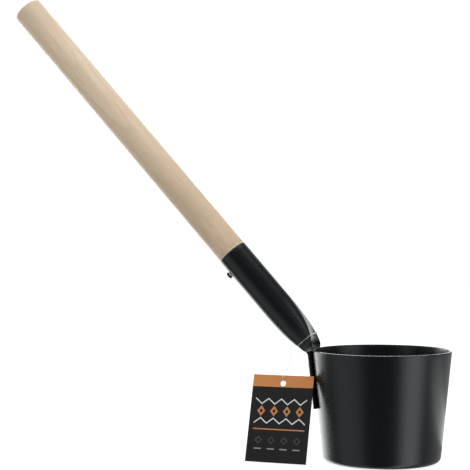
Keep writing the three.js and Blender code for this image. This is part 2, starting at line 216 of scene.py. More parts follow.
Y_AXIS = np.array([0.0, 1.0, 0.0])
Z_AXIS = np.array([0.0, 0.0, 1.0])
PICTURE_RIGHT = np.array([math.cos(CAMERA_TURN), math.sin(CAMERA_TURN), 0])
TOWARD_EYE = np.cross(PICTURE_RIGHT, Z_AXIS)


def along(lean):
    """The direction that leans from the vertical towards -X: minus the sine, nothing, and the cosine."""
    lean = np.asarray(lean, float)
    return np.stack([-np.sin(lean), np.zeros_like(lean), np.cos(lean)], axis=-1)


def cupward(lean):
    """Square to that direction on the cup's side: the cosine, nothing, and the sine of the lean."""
    lean = np.asarray(lean, float)
    return np.stack([np.cos(lean), np.zeros_like(lean), np.sin(lean)], axis=-1)


RIM_POINT = np.array([-RIM_RADIUS, 0, CUP_HEIGHT])
BEND_START = RIM_POINT - STRAP_OFFSET * cupward(TAPER) + BEND_RISE * along(TAPER)
BEND_CORNER = BEND_START + BEND_TANGENT * along(TAPER)

# The card's place and directions: where the loop bears in its hole, out of its front, across it and up it
HANG = np.array(joints["tag_turn"]["pos_m"])
TAG_FRONT = -np.array(joints["tag_turn"]["axis"]) / np.linalg.norm(joints["tag_turn"]["axis"])
TAG_ACROSS = np.cross(Z_AXIS, TAG_FRONT) / np.linalg.norm(np.cross(Z_AXIS, TAG_FRONT))
TAG_UP = np.cross(TAG_FRONT, TAG_ACROSS)
HOLE_DROP = TAG_HOLE_RADIUS - LOOP_DIAMETER / 2 - FIT  # from the loop down to the hole's middle


def arc(centre, radius, start, stop, steps=ARC_STEPS):
    """Points of an arc: the centre plus the radius times the cosine and sine of evenly spaced angles."""
    angle = np.linspace(start, stop, steps + 1)
    return np.array(centre) + radius * np.stack([np.cos(angle), np.sin(angle)], axis=-1)


def line(start, stop, steps):
    """Points of a straight line in equal steps."""
    return np.linspace(start, stop, steps + 1)


def turned(profile, sides):
    """A profile of radius and height carried round an axis: the radius times the turn's cosine and sine."""
    turn = np.linspace(0, 2 * np.pi, sides, endpoint=False)
    radius, height = profile[:, :1], profile[:, 1:]
    return np.stack([radius * np.cos(turn), radius * np.sin(turn), height + 0 * turn], axis=-1)


def laid(points, origin, first, second, third):
    """Points in their own directions put into the frame: the origin plus each coordinate times its own."""
    return origin + points @ np.stack([first, second, third])


def grid_piece(name, points, close_rows=False):
    """A closed piece from a grid of points whose columns run round it, each face joining four neighbours.

    Points that coincide, as at a pole, become one, and faces are turned to point out.
    """
    rows, columns = points.shape[:2]
    corner = np.arange(rows * columns).reshape(rows, columns)
    beside = np.roll(corner, -1, axis=1)
    quads = np.stack([corner, beside, np.roll(beside, -1, axis=0), np.roll(corner, -1, axis=0)], axis=-1)
    if not close_rows:
        quads = quads[:-1]
    mesh = bpy.data.meshes.new(name)
    mesh.from_pydata(points.reshape(-1, 3).tolist(), [], quads.reshape(-1, 4).tolist())
    shell = bmesh.new()
    shell.from_mesh(mesh)
    bmesh.ops.remove_doubles(shell, verts=shell.verts, dist=WELD)
    bmesh.ops.recalc_face_normals(shell, faces=shell.faces)
    shell.to_mesh(mesh)
    shell.free()
    mesh.polygons.foreach_set("use_smooth", np.ones(len(mesh.polygons), bool))
    mesh.set_sharp_from_angle(angle=SHARP_EDGE)
    piece = bpy.data.objects.new(name, mesh)
    bpy.context.scene.collection.objects.link(piece)
    return piece


def dressed(piece, materials, body, node=None):
    """Gives a piece its materials and the body that it moves with, and hides the solid that it stands for."""
    for material in materials:
        piece.data.materials.append(material)
    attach(piece, body)
    if node:
        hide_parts(node)
    return piece


# The part of a noise's range that most of it is in, and its middle
NOISE_LOW = 0.3
NOISE_HIGH = 0.7
NOISE_MIDDLE = 0.5


class Graph:
    """A node tree, with short ways to add nodes and formulas to it."""

    def __init__(self, tree):
        self.tree = tree
        tree.nodes.clear()

    def put(self, socket, value):
        """Links a socket to another, or sets its value."""
        if isinstance(value, bpy.types.NodeSocket):
            self.tree.links.new(value, socket)
        else:
            socket.default_value = value

    def add(self, kind, sockets=None, **properties):
        """A new node with its properties set, and its sockets set or linked by name or number."""
        node = self.tree.nodes.new(kind)
        for name, value in properties.items():
            setattr(node, name, value)
        for key, value in (sockets or {}).items():
            self.put(node.inputs[key], value)
        return node

    def calc(self, operation, *values):
        """One step of arithmetic on numbers or sockets."""
        return self.add("ShaderNodeMath", dict(enumerate(values)), operation=operation).outputs[0]

    def fade(self, value, start, stop, low=0.0, high=1.0):
        """A smooth step of value from low at start to high at stop."""
        sockets = {"Value": value, "From Min": start, "From Max": stop, "To Min": low, "To Max": high}
        return self.add("ShaderNodeMapRange", sockets, interpolation_type="SMOOTHSTEP").outputs["Result"]

    def spread(self, noise, low, high):
        """A straight change from low to high over most of a noise's range, and no further."""
        sockets = {"Value": noise, "From Min": NOISE_LOW, "From Max": NOISE_HIGH}
        return self.add("ShaderNodeMapRange", {**sockets, "To Min": low, "To Max": high}).outputs["Result"]

    def noise(self, place, grain, detail=2.0, roughness=0.5):
        """A cloudy pattern from 0 to 1 at a place, with that many features in a metre."""
        sockets = {"Vector": place, "Scale": grain, "Detail": detail, "Roughness": roughness}
        return self.add("ShaderNodeTexNoise", sockets).outputs["Fac"]

    def blend(self, share, first, second):
        """A colour between two, by a share from 0 to 1."""
        mix = self.add("ShaderNodeMix", data_type="RGBA")
        for name, value in (("Factor_Float", share), ("A_Color", first), ("B_Color", second)):
            self.put(next(socket for socket in mix.inputs if socket.identifier == name), value)
        return next(socket for socket in mix.outputs if socket.identifier == "Result_Color")

    def bump(self, height, depth, strength):
        """A normal that follows a height from 0 to 1, that many metres deep."""
        sockets = {"Height": height, "Distance": depth, "Strength": strength}
        return self.add("ShaderNodeBump", sockets).outputs["Normal"]


def finish(name, build):
    """A material whose shader sockets come from a function of its graph and the surface's coordinates."""
    material = bpy.data.materials.new(name)
    material.use_nodes = True
    graph = Graph(material.node_tree)
    coordinates = graph.add("ShaderNodeTexCoord").outputs
    shader = graph.add("ShaderNodeBsdfPrincipled", build(graph, coordinates))
    graph.add("ShaderNodeOutputMaterial", {"Surface": shader.outputs["BSDF"]})
    return material


# In the materials below, a grain is a number of features in a metre, a range is where in its noise a pattern
# fades in, a depth is the most that it shows, and a relief is a height in metres and a strength.

# Black coat
COAT_BLACK = (0.0016, 0.0021, 0.0024, 1)
COAT_SPECK = (0.0060, 0.0070, 0.0076, 1)
COAT_TINT = (0.92, 1.0, 1.04, 1)
COAT_GRAIN = 2600
COAT_MOTTLE_GRAIN = 700
COAT_DRIFT_GRAIN = 45
COAT_SPECK_RANGE = 0.5, 0.72
COAT_ROUGHNESS = 0.23, 0.3
COAT_ROUGHNESS_DRIFT = 0.03
COAT_RELIEF = 0.009 * MM, 0.4
COAT_RELIEF_MOTTLE = 0.15
COAT_IOR = 1.5


def coated_metal(graph, coordinates):
    """A black satin coat: a very fine speckle in its colour and height, a coarser mottle and a slow drift.

    The mottle changes the gloss and a little of the height, and the drift changes the gloss alone.
    """
    grain = graph.noise(coordinates["Object"], COAT_GRAIN, detail=3.0)
    mottle = graph.noise(coordinates["Object"], COAT_MOTTLE_GRAIN, detail=3.0, roughness=0.6)
    drift = graph.noise(coordinates["Object"], COAT_DRIFT_GRAIN)
    roughness = graph.spread(mottle, *COAT_ROUGHNESS)
    height = graph.calc("ADD", grain, graph.calc("MULTIPLY", mottle, COAT_RELIEF_MOTTLE))
    return {
        "Base Color": graph.blend(graph.fade(grain, *COAT_SPECK_RANGE), COAT_BLACK, COAT_SPECK),
        "Roughness": graph.calc("ADD", roughness, graph.calc("MULTIPLY", drift, COAT_ROUGHNESS_DRIFT)),
        "Normal": graph.bump(height, *COAT_RELIEF),
        "IOR": COAT_IOR,
        "Specular Tint": COAT_TINT,
    }


# Wood
WOOD_AT_TUBE = (0.515, 0.395, 0.262, 1)
WOOD_PALEST = (0.72, 0.588, 0.435, 1)
WOOD_AT_END = (0.64, 0.515, 0.38, 1)
WOOD_LATE = (0.52, 0.40, 0.265, 1)
WOOD_PINK = (0.69, 0.495, 0.365, 1)
WOOD_GREY = (0.54, 0.465, 0.32, 1)
WOOD_FIBRE = (0.58, 0.45, 0.31, 1)
WOOD_STREAK = (0.53, 0.41, 0.28, 1)
WOOD_FLECK = (0.42, 0.31, 0.19, 1)
# Painted highlight: a paler tone on the eased edge at the tube, standing in for the light that the edge
# catches
WOOD_PAINTED_HIGHLIGHT = (0.82, 0.72, 0.58, 1)
# Partly darker end grain and partly painted shade on the end's rounding
WOOD_END_GRAIN_AND_SHADE = (0.34, 0.25, 0.165, 1)
WOOD_ROUGHNESS = 0.5, 0.62
WOOD_SPECULAR = 0.35
WOOD_RELIEF = 0.012 * MM, 0.4
PALEST_BELOW_END = 70 * MM
PITH_ASIDE = 5 * MM
PITH_BEHIND = 26 * MM
PITH_SKEW = 0.035
PITH_LEVEL = 235 * MM  # up the handle, where the pith is just that far behind
RING_SPACING = 2.6 * MM
RING_SHARPNESS = 3.0
RING_WAVER = 11 * MM
LATE_DEPTH = 0.5
PINK_RANGE = 0.46, 0.64
PINK_DEPTH = 0.5
GREY_RANGE = 0.48, 0.66
GREY_DEPTH = 0.45
FIBRE_DEPTH = 0.3
STREAK_RANGE = 0.5, 0.68
STREAK_DEPTH = 0.35
FLECK_RANGE = 0.66, 0.76
FLECK_DEPTH = 0.3
# How much of the painted highlight on the eased edge shows
PAINTED_HIGHLIGHT_DEPTH = 0.6
# How much of the end's painted shade and darker end grain shows
END_GRAIN_AND_SHADE_DEPTH = 0.6

# Clouds in the wood: the share of its grain that one keeps along the handle, a shift, the grain itself, and
# the noise's detail and roughness
WOOD_CLOUDS = {
    "waver": (0.25, 0.0, 70, 2.0, 0.5),
    "fibre": (0.05, 0.0, 1500, 3.0, 0.6),
    "streak": (0.04, 0.7, 520, 2.0, 0.5),
    "fleck": (0.05, 0.0, 3200, 1.0, 0.5),
    "pink": (0.16, 0.0, 210, 3.0, 0.6),
    "grey": (0.1, 0.3, 240, 3.0, 0.6),
}


def pale_wood(graph, coordinates):
    """Pale close-grained wood: growth rings about a pith beside the handle, long bands, fibres and flecks.

    The place is measured along the handle. A ring's phase is its distance from a pith line that runs a little
    askew, wavered by a slow cloud, so the rings run as stripes and arches on the sides and as arcs on the
    end. Bands are clouds drawn out along the grain, some pinkish and some grey-green, and the wood pales up
    the handle. The end and its rounding are darker, partly as end grain and partly as painted shade, and the
    eased edge at the tube is paler as a painted highlight.
    """
    handle = graph.add(
        "ShaderNodeMapping",
        {"Vector": coordinates["Object"], "Location": BEND_CORNER.tolist(), "Rotation": (0, -TILT, 0)},
        vector_type="TEXTURE",
    ).outputs["Vector"]

    def drawn_out(share, shift, *noise):
        sockets = {"Vector": handle, "Scale": (1, 1, share), "Location": (shift, 0, 0)}
        return graph.noise(graph.add("ShaderNodeMapping", sockets).outputs["Vector"], *noise)

    def squared(value):
        return graph.calc("MULTIPLY", value, value)

    clouds = {name: drawn_out(*numbers) for name, numbers in WOOD_CLOUDS.items()}
    axes = graph.add("ShaderNodeSeparateXYZ", {"Vector": handle}).outputs
    up = axes["Z"]
    waver = graph.calc("MULTIPLY", graph.calc("SUBTRACT", clouds["waver"], NOISE_MIDDLE), RING_WAVER)
    aside = graph.calc("ADD", axes["X"], graph.calc("ADD", waver, PITH_ASIDE))
    askew = graph.calc("MULTIPLY", graph.calc("SUBTRACT", up, PITH_LEVEL), PITH_SKEW)
    behind = graph.calc("SUBTRACT", axes["Y"], graph.calc("ADD", askew, PITH_BEHIND))
    reach = graph.calc("SQRT", graph.calc("ADD", squared(aside), squared(behind)))
    phase = graph.calc("FRACT", graph.calc("DIVIDE", reach, RING_SPACING))
    late_wood = graph.calc("POWER", phase, RING_SHARPNESS)
    fleck = graph.fade(clouds["fleck"], *FLECK_RANGE)
    palest = HANDLE_END - PALEST_BELOW_END
    eased = SHOULDER + 2 * SHOULDER_ROUNDING, SHOULDER + SHOULDER_ROUNDING
    layers = [
        (graph.fade(up, SOCKET_LENGTH, palest), WOOD_PALEST),
        (graph.fade(up, palest, HANDLE_END), WOOD_AT_END),
        (graph.calc("MULTIPLY", late_wood, LATE_DEPTH), WOOD_LATE),
        (graph.fade(clouds["pink"], *PINK_RANGE, high=PINK_DEPTH), WOOD_PINK),
        (graph.fade(clouds["grey"], *GREY_RANGE, high=GREY_DEPTH), WOOD_GREY),
        (graph.spread(clouds["fibre"], 0.0, FIBRE_DEPTH), WOOD_FIBRE),
        (graph.fade(clouds["streak"], *STREAK_RANGE, high=STREAK_DEPTH), WOOD_STREAK),
        (graph.calc("MULTIPLY", fleck, FLECK_DEPTH), WOOD_FLECK),
        # Painted highlight on the eased edge at the tube
        (graph.fade(up, *eased, high=PAINTED_HIGHLIGHT_DEPTH), WOOD_PAINTED_HIGHLIGHT),
        # Painted shade on the end and its rounding, together with darker end grain
        (graph.fade(up, HANDLE_END - HANDLE_END_ROUNDING, HANDLE_END, high=END_GRAIN_AND_SHADE_DEPTH), WOOD_END_GRAIN_AND_SHADE),
    ]
    colour = WOOD_AT_TUBE
    for share, tone in layers:
        colour = graph.blend(share, colour, tone)
    return {
        "Base Color": colour,
        "Roughness": graph.spread(clouds["fibre"], *WOOD_ROUGHNESS),
        "Normal": graph.bump(graph.calc("SUBTRACT", clouds["fibre"], fleck), *WOOD_RELIEF),
        "Specular IOR Level": WOOD_SPECULAR,
    }


# Screw and washer
SCREW_DARK = (0.003, 0.003, 0.0035, 1)
SCREW_WORN = (0.012, 0.012, 0.013, 1)
SCREW_GRAIN = 900
SCREW_WEAR_RANGE = 0.55, 0.75
SCREW_ROUGHNESS = 0.4, 0.55
SCREW_SPECULAR = 0.12
WASHER_DULL = (0.90, 0.90, 0.89, 1)
WASHER_BRIGHT = (0.94, 0.94, 0.93, 1)
WASHER_GRAIN = 700
WASHER_ROUGHNESS = 0.4, 0.5


def black_screw(graph, coordinates):
    """Blackened steel: very dark, duller than the coat, with a faint cloud of wear."""
    cloud = graph.noise(coordinates["Object"], SCREW_GRAIN, detail=3.0)
    return {
        "Base Color": graph.blend(graph.fade(cloud, *SCREW_WEAR_RANGE), SCREW_DARK, SCREW_WORN),
        "Roughness": graph.spread(cloud, *SCREW_ROUGHNESS),
        "Specular IOR Level": SCREW_SPECULAR,
    }


def pale_washer(graph, coordinates):
    """Pale moulded nylon with a faint cloud."""
    cloud = graph.noise(coordinates["Object"], WASHER_GRAIN)
    return {
        "Base Color": graph.blend(cloud, WASHER_DULL, WASHER_BRIGHT),
        "Roughness": graph.spread(cloud, *WASHER_ROUGHNESS),
    }


# Print on the card. Its rows are at heights up from the loop in the hole.
FIELD_DARK = (0.0072, 0.0072, 0.0078, 1)
FIELD_PALE = (0.0096, 0.0096, 0.0102, 1)
BAND_DARK = (0.50, 0.195, 0.062, 1)
BAND_PALE = (0.55, 0.22, 0.073, 1)
INK_DIM = (0.055, 0.047, 0.036, 1)
INK_PALE = (0.27, 0.27, 0.265, 1)
INK_COPPER = (0.44, 0.19, 0.07, 1)
INK_WHITE = (0.62, 0.62, 0.61, 1)
PRINT_GRAIN = 1800
PRINT_DRIFT_GRAIN = 30
PRINT_ROUGHNESS = 0.46, 0.56
PRINT_RELIEF = 0.01 * MM, 0.35
PRINT_SPECULAR = 0.2
COPPER_BAND = 9.9 * MM
BAND_EDGE = TAG_HOLE_INSET - HOLE_DROP - COPPER_BAND
BAND_IN_GLOSS = 0.25  # share of the band's copper that shows as a reflection in the cup
PRINT_HALF_WIDTH = 22 * MM
PRINT_SOFTNESS = 0.06 * MM
PATTERN_PERIOD = 11 * MM
WHOLE_PERIODS = 8 * PATTERN_PERIOD  # added so that the distance across the card is never negative
ZIGZAG_ROWS = (-17 * MM, -0.8), (-33 * MM, 0.8)  # height and slope
ZIGZAG_LINE = 1.1 * MM
COPPER_LOZENGES = -25 * MM, 3.4 * MM, 4.4 * MM, 0.42  # height, half width, half height and hollow share
DIM_LOZENGES = -49 * MM, 3.2 * MM, 3.2 * MM, 0.62
LOZENGE_SOFTNESS = 0.02
RULE_ROW = -40 * MM
RULE_HALF = 0.5 * MM
DASH_ROW = -56 * MM
DASH_HALF = 0.45 * MM
DASH_HALF_LENGTH = 3 * MM


def card_print(graph, coordinates):
    """Black satin ink with a copper band along the top, and rows of zigzags, lozenges and dashes below it.

    A zigzag is a triangle wave across the card, and a stroke is where the height is within half a line of it.
    A lozenge is where the distances across and up from its middle, each over its half size, add to less than
    one. The band is dimmed where the cup's gloss mirrors it.
    """
    place = graph.add("ShaderNodeSeparateXYZ", {"Vector": coordinates["UV"]}).outputs
    across, up = place["X"], place["Y"]
    paper = graph.noise(coordinates["Object"], PRINT_GRAIN, detail=3.0)
    drift = graph.spread(graph.noise(coordinates["Object"], PRINT_DRIFT_GRAIN), 0.0, 1.0)

    def distance(value, middle):
        return graph.calc("ABSOLUTE", graph.calc("SUBTRACT", value, middle))

    def within(value, limit, softness=PRINT_SOFTNESS):
        return graph.fade(value, limit + softness, limit - softness)

    def triangle(shift=0.0):
        return graph.calc("PINGPONG", graph.calc("ADD", across, WHOLE_PERIODS + shift), PATTERN_PERIOD / 2)

    def zigzag(middle, slope):
        height = graph.calc("MULTIPLY", graph.calc("SUBTRACT", triangle(), PATTERN_PERIOD / 4), slope)
        return within(distance(graph.calc("SUBTRACT", up, height), middle), ZIGZAG_LINE / 2)

    def lozenges(middle, half_width, half_height, hollow):
        sideways = graph.calc("DIVIDE", triangle(PATTERN_PERIOD / 2), half_width)
        reach = graph.calc("ADD", sideways, graph.calc("DIVIDE", distance(up, middle), half_height))
        outside_hollow = graph.fade(reach, hollow - LOZENGE_SOFTNESS, hollow + LOZENGE_SOFTNESS)
        return graph.calc("MULTIPLY", within(reach, 1.0, LOZENGE_SOFTNESS), outside_hollow)

    rule = within(distance(up, RULE_ROW), RULE_HALF)
    dashes = within(triangle(PATTERN_PERIOD / 2), DASH_HALF_LENGTH)
    inks = [
        (lozenges(*DIM_LOZENGES), INK_DIM),
        (graph.calc("MULTIPLY", within(distance(up, DASH_ROW), DASH_HALF), dashes), INK_PALE),
        (graph.calc("MAXIMUM", lozenges(*COPPER_LOZENGES), rule), INK_COPPER),
        (graph.calc("MAXIMUM", *(zigzag(*row) for row in ZIGZAG_ROWS)), INK_WHITE),
    ]
    inside = within(distance(across, 0.0), PRINT_HALF_WIDTH)
    printed = graph.blend(drift, FIELD_DARK, FIELD_PALE)
    for drawn, ink in inks:
        printed = graph.blend(graph.calc("MULTIPLY", drawn, inside), printed, ink)
    path = graph.add("ShaderNodeLightPath").outputs
    mirrored = graph.calc("SUBTRACT", path["Is Glossy Ray"], path["Is Transmission Ray"])
    band = graph.fade(up, BAND_EDGE - PRINT_SOFTNESS, BAND_EDGE + PRINT_SOFTNESS)
    band = graph.calc("MULTIPLY", band, graph.fade(mirrored, 0.0, 1.0, 1.0, BAND_IN_GLOSS))
    return {
        "Base Color": graph.blend(band, printed, graph.blend(drift, BAND_DARK, BAND_PALE)),
        "Roughness": graph.spread(paper, *PRINT_ROUGHNESS),
        "Normal": graph.bump(paper, *PRINT_RELIEF),
        "Specular IOR Level": PRINT_SPECULAR,
    }


# Board of the card
BOARD_DARK = (0.018, 0.018, 0.018, 1)
BOARD_PALE = (0.028, 0.027, 0.026, 1)
BOARD_GRAIN = 1500
BOARD_ROUGHNESS = 0.62, 0.74
BOARD_RELIEF = 0.015 * MM, 0.5
CUT_DARK = (0.03, 0.028, 0.026, 1)
CUT_FIBRE = (0.12, 0.105, 0.09, 1)
CUT_GRAIN = 2500
CUT_FIBRE_RANGE = 0.4, 0.7
CUT_ROUGHNESS = 0.8


def card_back(graph, coordinates):
    """Plain black uncoated board with a faint tooth."""
    paper = graph.noise(coordinates["Object"], BOARD_GRAIN, detail=4.0)
    return {
        "Base Color": graph.blend(paper, BOARD_DARK, BOARD_PALE),
        "Roughness": graph.spread(paper, *BOARD_ROUGHNESS),
        "Normal": graph.bump(paper, *BOARD_RELIEF),
    }


def card_edge(graph, coordinates):
    """The cut edge of dark board, lighter in streaks where fibres show."""
    fibre = graph.noise(coordinates["Object"], CUT_GRAIN)
    return {
        "Base Color": graph.blend(graph.fade(fibre, *CUT_FIBRE_RANGE), CUT_DARK, CUT_FIBRE),
        "Roughness": CUT_ROUGHNESS,
    }


# Nylon
NYLON_COLOUR = (0.95, 0.96, 0.96, 1)
NYLON_GRAIN = 700
NYLON_ROUGHNESS = 0.08, 0.2
NYLON_CLEARNESS = 0.9
NYLON_IOR = 1.53


def clear_nylon(graph, coordinates):
    """Clear drawn nylon, with slight clouds in its gloss."""
    cloud = graph.noise(coordinates["Object"], NYLON_GRAIN)
    return {
        "Base Color": NYLON_COLOUR,
        "Roughness": graph.spread(cloud, *NYLON_ROUGHNESS),
        "Transmission Weight": NYLON_CLEARNESS,
        "IOR": NYLON_IOR,
    }


# Floor
WHITE = (1, 1, 1, 1)
FLOOR_DARK = (0.16, 0.16, 0.16, 1)
FLOOR_PALE = (0.18, 0.18, 0.18, 1)
FLOOR_GRAIN = 3
FLOOR_ROUGHNESS = 0.9
FLOOR_LIFT = 0.9
FLOOR_HALF = 4.0
FLOOR_DROP = 0.2 * MM


def white_floor(graph, coordinates):
    """A plain pale floor with a trace of cloud, lifted so that it stays pale to its far edge."""
    cloud = graph.noise(coordinates["Object"], FLOOR_GRAIN)
    return {
        "Base Color": graph.blend(cloud, FLOOR_DARK, FLOOR_PALE),
        "Roughness": FLOOR_ROUGHNESS,
        "Specular IOR Level": 0.0,
        "Emission Color": WHITE,
        "Emission Strength": FLOOR_LIFT,
    }


COAT = finish("coated_metal", coated_metal)
WOOD = finish("pale_wood", pale_wood)
SCREW_BLACK = finish("black_screw", black_screw)
WASHER_WHITE = finish("pale_washer", pale_washer)
PRINT = finish("card_print", card_print)
CARD_BACK = finish("card_back", card_back)
CARD_EDGE = finish("card_edge", card_edge)
NYLON = finish("clear_nylon", clear_nylon)
FLOOR_WHITE = finish("white_floor", white_floor)


def camera():
    """The camera, level, with its place on the axes of its own picture."""
    lens = bpy.data.cameras.new("camera")
    lens.sensor_width = SENSOR_WIDTH
    lens.lens = SENSOR_WIDTH * FOCAL_LENGTH / PICTURE_WIDTH
    eye = bpy.data.objects.new("camera", lens)
    eye.location = CAMERA_ASIDE * PICTURE_RIGHT + CAMERA_DISTANCE * TOWARD_EYE + CAMERA_HEIGHT * Z_AXIS
    eye.rotation_euler = (math.pi / 2, 0, CAMERA_TURN)
    bpy.context.scene.collection.objects.link(eye)
    bpy.context.scene.camera = eye


def loop_route():
    """The loop's points in the frame, from the neck's or the card's own directions, starting at the lock."""
    middle = neck_line(np.array([LOOP_STATION]))[0][0]
    at_neck = laid(LOOP_AT_NECK, middle, along(TILT), cupward(TILT), Y_AXIS)
    at_tag = laid(LOOP_AT_TAG, HANG, TAG_ACROSS, TAG_UP, TAG_FRONT)
    return np.roll(np.concatenate([at_neck, at_tag]), -LOCK_POINT, axis=0)


def smooth_loop(points):
    """A smooth line through a ring of points, back to the first one.

    Each stretch is a cubic between two points whose slopes come from their neighbours, with time running as
    the square root of the distance, so that the line neither loops nor overshoots at close points.
    """
    before, here, there, after = (np.roll(points, shift, axis=0)[:, None] for shift in (1, 0, -1, -2))

    def time(start, stop):
        return np.sqrt(np.linalg.norm(stop - start, axis=-1, keepdims=True))

    first, middle, last = time(before, here), time(here, there), time(there, after)
    leaving = (here - before) / first - (there - before) / (first + middle) + (there - here) / middle
    arriving = (there - here) / middle - (after - here) / (middle + last) + (after - there) / last
    share = np.linspace(0, 1, LOOP_STEPS, endpoint=False)[None, :, None]
    curve = (
        here * (2 * share**3 - 3 * share**2 + 1)
        + there * (3 * share**2 - 2 * share**3)
        + middle * leaving * (share**3 - 2 * share**2 + share)
        + middle * arriving * (share**3 - share**2)
    )
    return np.concatenate([curve.reshape(-1, 3), points[:1]])


def tag_loop():
    """The nylon string as one open line from the lock round the neck, through the card and back."""
    route = smooth_loop(loop_route())
    curve = bpy.data.curves.new("loop_string", "CURVE")
    curve.dimensions = "3D"
    curve.bevel_depth = LOOP_DIAMETER / 2
    curve.bevel_resolution = LOOP_BEVEL
    curve.use_fill_caps = True
    spline = curve.splines.new("POLY")
    spline.points.add(len(route) - 1)
    spline.points.foreach_set("co", np.column_stack([route, np.ones(len(route))]).ravel())
    string = bpy.data.objects.new("loop_string", curve)
    bpy.context.scene.collection.objects.link(string)
    dressed(string, [NYLON], "loop", "tag_loop")
    lock = dressed(snap_lock(route), [NYLON], "loop")


def snap_lock(route):
    """A short bead along the string: a barrel with round ends, drawn in by a groove round its middle.

    The groove is a bell curve along the barrel.
    """
    forward = route[1] - route[-2]
    forward = forward / np.linalg.norm(forward)
    side = np.cross(forward, Z_AXIS) / np.linalg.norm(np.cross(forward, Z_AXIS))
    profile = np.concatenate([
        arc((0, -LOCK_STRAIGHT), LOCK_RADIUS, -np.pi / 2, 0),
        line((LOCK_RADIUS, -LOCK_STRAIGHT), (LOCK_RADIUS, LOCK_STRAIGHT), LOCK_STEPS)[1:-1],
        arc((0, LOCK_STRAIGHT), LOCK_RADIUS, 0, np.pi / 2),
    ])
    profile[:, 0] -= LOCK_GROOVE * np.exp(-((profile[:, 1] / LOCK_GROOVE_REACH) ** 2))
    profile[[0, -1], 0] = 0
    points = laid(turned(profile, SMALL_SIDES), route[0], side, np.cross(forward, side), forward)
    return grid_piece("loop_lock", points)


def cup():
    """The cup as one profile carried round: base, foot, leaning wall, lip and the same inside."""
    foot = (FOOT_RADIUS + FOOT_FILLET * (math.sin(TAPER) - 1) / math.cos(TAPER), FOOT_FILLET)
    inner_rim = RIM_RADIUS - CUP_SHEET / math.cos(TAPER)
    lip = CUP_HEIGHT - RIM_ROUNDING
    outer_foot = arc(foot, FOOT_FILLET, -np.pi / 2, -TAPER)
    outer_lip = arc((RIM_RADIUS - RIM_ROUNDING, lip), RIM_ROUNDING, -TAPER, np.pi / 2)
    inner_lip = arc((inner_rim + RIM_ROUNDING, lip), RIM_ROUNDING, np.pi / 2, np.pi - TAPER)
    inner_foot = arc(foot, FOOT_FILLET - CUP_SHEET, -TAPER, -np.pi / 2)
    profile = np.concatenate([
        line((0, 0), outer_foot[0], BASE_STEPS)[:-1],
        outer_foot,
        line(outer_foot[-1], outer_lip[0], WALL_STEPS)[1:-1],
        outer_lip,
        inner_lip,
        line(inner_lip[-1], inner_foot[0], WALL_STEPS)[1:-1],
        inner_foot,
        line(inner_foot[-1], (0, CUP_SHEET), BASE_STEPS)[1:],
    ])
    piece = grid_piece("cup_shell", turned(profile, CUP_SIDES))
    dressed(piece, [COAT], "ladle", "bowl")


def opened(station):
    """How far the press has opened: 0 up to the middle of the bend, 1 where the tube is round."""
    return np.clip(station / PRESS_RUN, 0, 1)


def half_thickness(station):
    """Half of the tube's thickness: it swells from strap to round tube as a quarter of a sine wave."""
    swell = np.sin(np.pi / 2 * opened(station) ** PRESS_FULLNESS)
    return TUBE_WALL + (TUBE_RADIUS - TUBE_WALL) * swell


def neck_line(station):
    """The neck's middle line and its lean: straight on the strap, an arc at the bend and straight above."""
    from_start = station + BEND_ARC / 2
    lean = TAPER + np.clip(from_start / BEND_RADIUS, 0, TILT - TAPER)
    bend = BEND_START + BEND_RADIUS * (cupward(lean) - cupward(TAPER))
    strap = np.minimum(from_start, 0)[:, None] * along(TAPER)
    tube = np.maximum(station - BEND_ARC / 2, 0)[:, None] * along(TILT)
    return bend + strap + tube, lean


def wall_bow(station):
    """Radius of the arc round the cup that the strap's middle follows: the wall's own, and the offset."""
    above_rim = np.minimum(station - STRAP_TOP, BEND_RISE)
    return (RIM_RADIUS + above_rim * math.sin(TAPER)) / math.cos(TAPER) + STRAP_OFFSET


def near_fold(station):
    """How near the fold between strap and neck is: 1 at it, straight down the strap, squared up the neck."""
    up_strap = (station - STRAP_END) / (STRAP_TOP - STRAP_END)
    return np.minimum(up_strap, 1) * (1 - opened(station)) ** 2


def corner_trim(station):
    """How much the rounded corners take off each edge at the strap's end: a quarter circle."""
    from_end = np.minimum(station - STRAP_END, STRAP_CORNER)
    return STRAP_CORNER - np.sqrt(STRAP_CORNER**2 - (STRAP_CORNER - from_end) ** 2)


